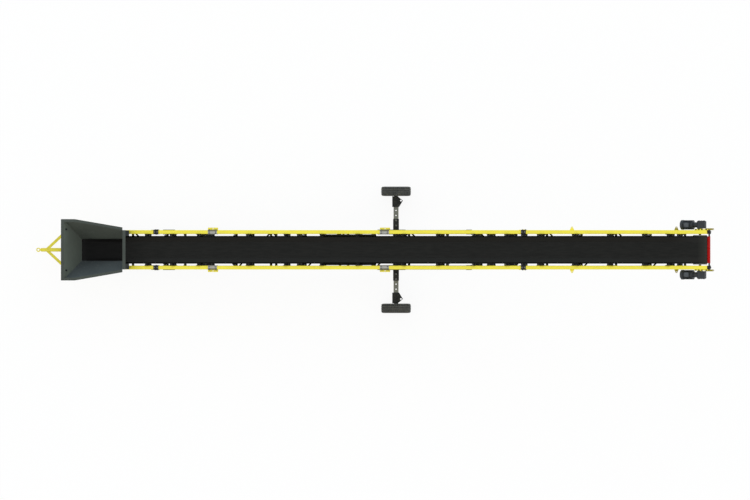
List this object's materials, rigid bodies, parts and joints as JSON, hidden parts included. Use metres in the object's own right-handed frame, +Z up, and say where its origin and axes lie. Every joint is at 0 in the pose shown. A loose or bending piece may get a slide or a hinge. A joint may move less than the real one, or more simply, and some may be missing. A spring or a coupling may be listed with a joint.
{
  "type": "radial stacker conveyor",
  "caption": "Inclined trough-belt stacker on a lattice frame, with feed hopper, tow bar, tail pivot plate and a two-wheel telescopic undercarriage that lifts and slews it.",
  "frame": {"origin": "on the ground below the middle of the overall box", "axes": "+X from the tail to the discharge head, +Y to the left, +Z up"},
  "size_m": [24.3999, 4.554, 8.5195],
  "materials": {
    "frame_yellow": "satin yellow paint",
    "frame_black": "satin black paint",
    "hopper_grey": "dark grey paint",
    "belt_rubber": "matt black belt",
    "tyre_rubber": "matt tyre rubber",
    "rim_paint": "black wheel paint",
    "roll_plastic": "black composite rolls",
    "bare_steel": "bare or galvanised steel",
    "axle_grey": "grey paint, worn by sliding",
    "motor_grey": "dark blue-grey paint on castings",
    "blade_red": "red polyurethane"
  },
  "bodies": {
    "conveyor": {"belt": "belt_rubber", "bottom_chord_left": "frame_yellow", "bottom_chord_right": "frame_yellow", "chord_straps": "frame_black", "cross_bracing": "frame_black", "drum_bearings": "frame_black", "gearbox_left": "motor_grey", "gearbox_right": "motor_grey", "head_drum": "bare_steel", "hopper_front_bar": "hopper_grey", "hopper_rear": "hopper_grey", "hopper_rim": "hopper_grey", "hopper_side_left": "hopper_grey", "hopper_side_right": "hopper_grey", "hopper_skirts": "belt_rubber", "hopper_supports": "hopper_grey", "hose_trays": "frame_black", "idler_frames": "frame_black", "idler_rolls": "roll_plastic", "leg_brackets": "frame_yellow", "lifting_lugs": "frame_yellow", "motor_left": "motor_grey", "motor_right": "motor_grey", "pivot_hangers": "frame_black", "pivot_post": "frame_black", "scraper_blade": "blade_red", "scraper_frame": "frame_black", "splice_collars": "bare_steel", "tail_beams": "frame_yellow", "tail_drum": "bare_steel", "tail_side_left": "frame_yellow", "tail_side_right": "frame_yellow", "top_chord_left": "frame_yellow", "top_chord_right": "frame_yellow", "torque_arms": "frame_yellow", "tow_bar": "frame_yellow", "tow_ring": "frame_yellow", "web_left": "frame_yellow", "web_right": "frame_yellow"},
    "undercarriage": {"axle_sleeve": "frame_black", "arm_left": "frame_black", "arm_right": "frame_black", "arm_ties": "frame_black", "leg_feet": "frame_black"},
    "leg_outer": {"legs_outer": "frame_black"},
    "leg_inner": {"legs_inner": "axle_grey"},
    "base": {"base_plate": "frame_black"},
    "axle_left": {"axle_stub_left": "axle_grey"},
    "swivel_left": {"knuckle_left": "frame_black"},
    "wheel_left": {"tyre_left": "tyre_rubber", "rim_left": "rim_paint", "hub_left": "rim_paint"},
    "axle_right": {"axle_stub_right": "axle_grey"},
    "swivel_right": {"knuckle_right": "frame_black"},
    "wheel_right": {"tyre_right": "tyre_rubber", "rim_right": "rim_paint", "hub_right": "rim_paint"}
  },
  "joints": [
    {"name": "luff", "type": "hinge", "parent": "conveyor", "child": "undercarriage", "pos_m": [-7.873, 0, 1.00892], "axis": [0, 1, 0], "range_deg": [-8, 3]},
    {"name": "leg_turn", "type": "hinge", "parent": "undercarriage", "child": "leg_outer", "pos_m": [0.75, 0, 0.9], "axis": [0, -1, 0], "range_deg": [-30, 15]},
    {"name": "leg_extend", "type": "slide", "parent": "leg_outer", "child": "leg_inner", "axis": [0.7226, 0, 0.6913], "range_m": [-1, 0.5]},
    {"name": "slew", "type": "hinge", "parent": "conveyor", "child": "base", "pos_m": [-10.7, 0, 0], "axis": [0, 0, -1], "range_deg": [-135, 135]},
    {"name": "axle_extend_left", "type": "slide", "parent": "undercarriage", "child": "axle_left", "axis": [0, 1, 0], "range_m": [-0.4, 0]},
    {"name": "swivel_left", "type": "hinge", "parent": "axle_left", "child": "swivel_left", "pos_m": [0.75, 1.7, 0.7], "axis": [0, 0, -1], "range_deg": [0, 90]},
    {"name": "wheel_left", "type": "hinge", "parent": "swivel_left", "child": "wheel_left", "pos_m": [0.75, 2.106, 0.535], "axis": [0, 1, 0], "continuous": true},
    {"name": "axle_extend_right", "type": "slide", "parent": "undercarriage", "child": "axle_right", "axis": [0, -1, 0], "range_m": [-0.4, 0]},
    {"name": "swivel_right", "type": "hinge", "parent": "axle_right", "child": "swivel_right", "pos_m": [0.75, -1.7, 0.7], "axis": [0, 0, 1], "range_deg": [0, 90]},
    {"name": "wheel_right", "type": "hinge", "parent": "swivel_right", "child": "wheel_right", "pos_m": [0.75, -2.106, 0.535], "axis": [0, 1, 0], "continuous": true}
  ],
  "couplings": [
    {"joint": "leg_turn", "follows": "luff", "ratio": 2.1},
    {"joint": "leg_extend", "follows": "luff", "m_per_rad": 5.3}
  ]
}
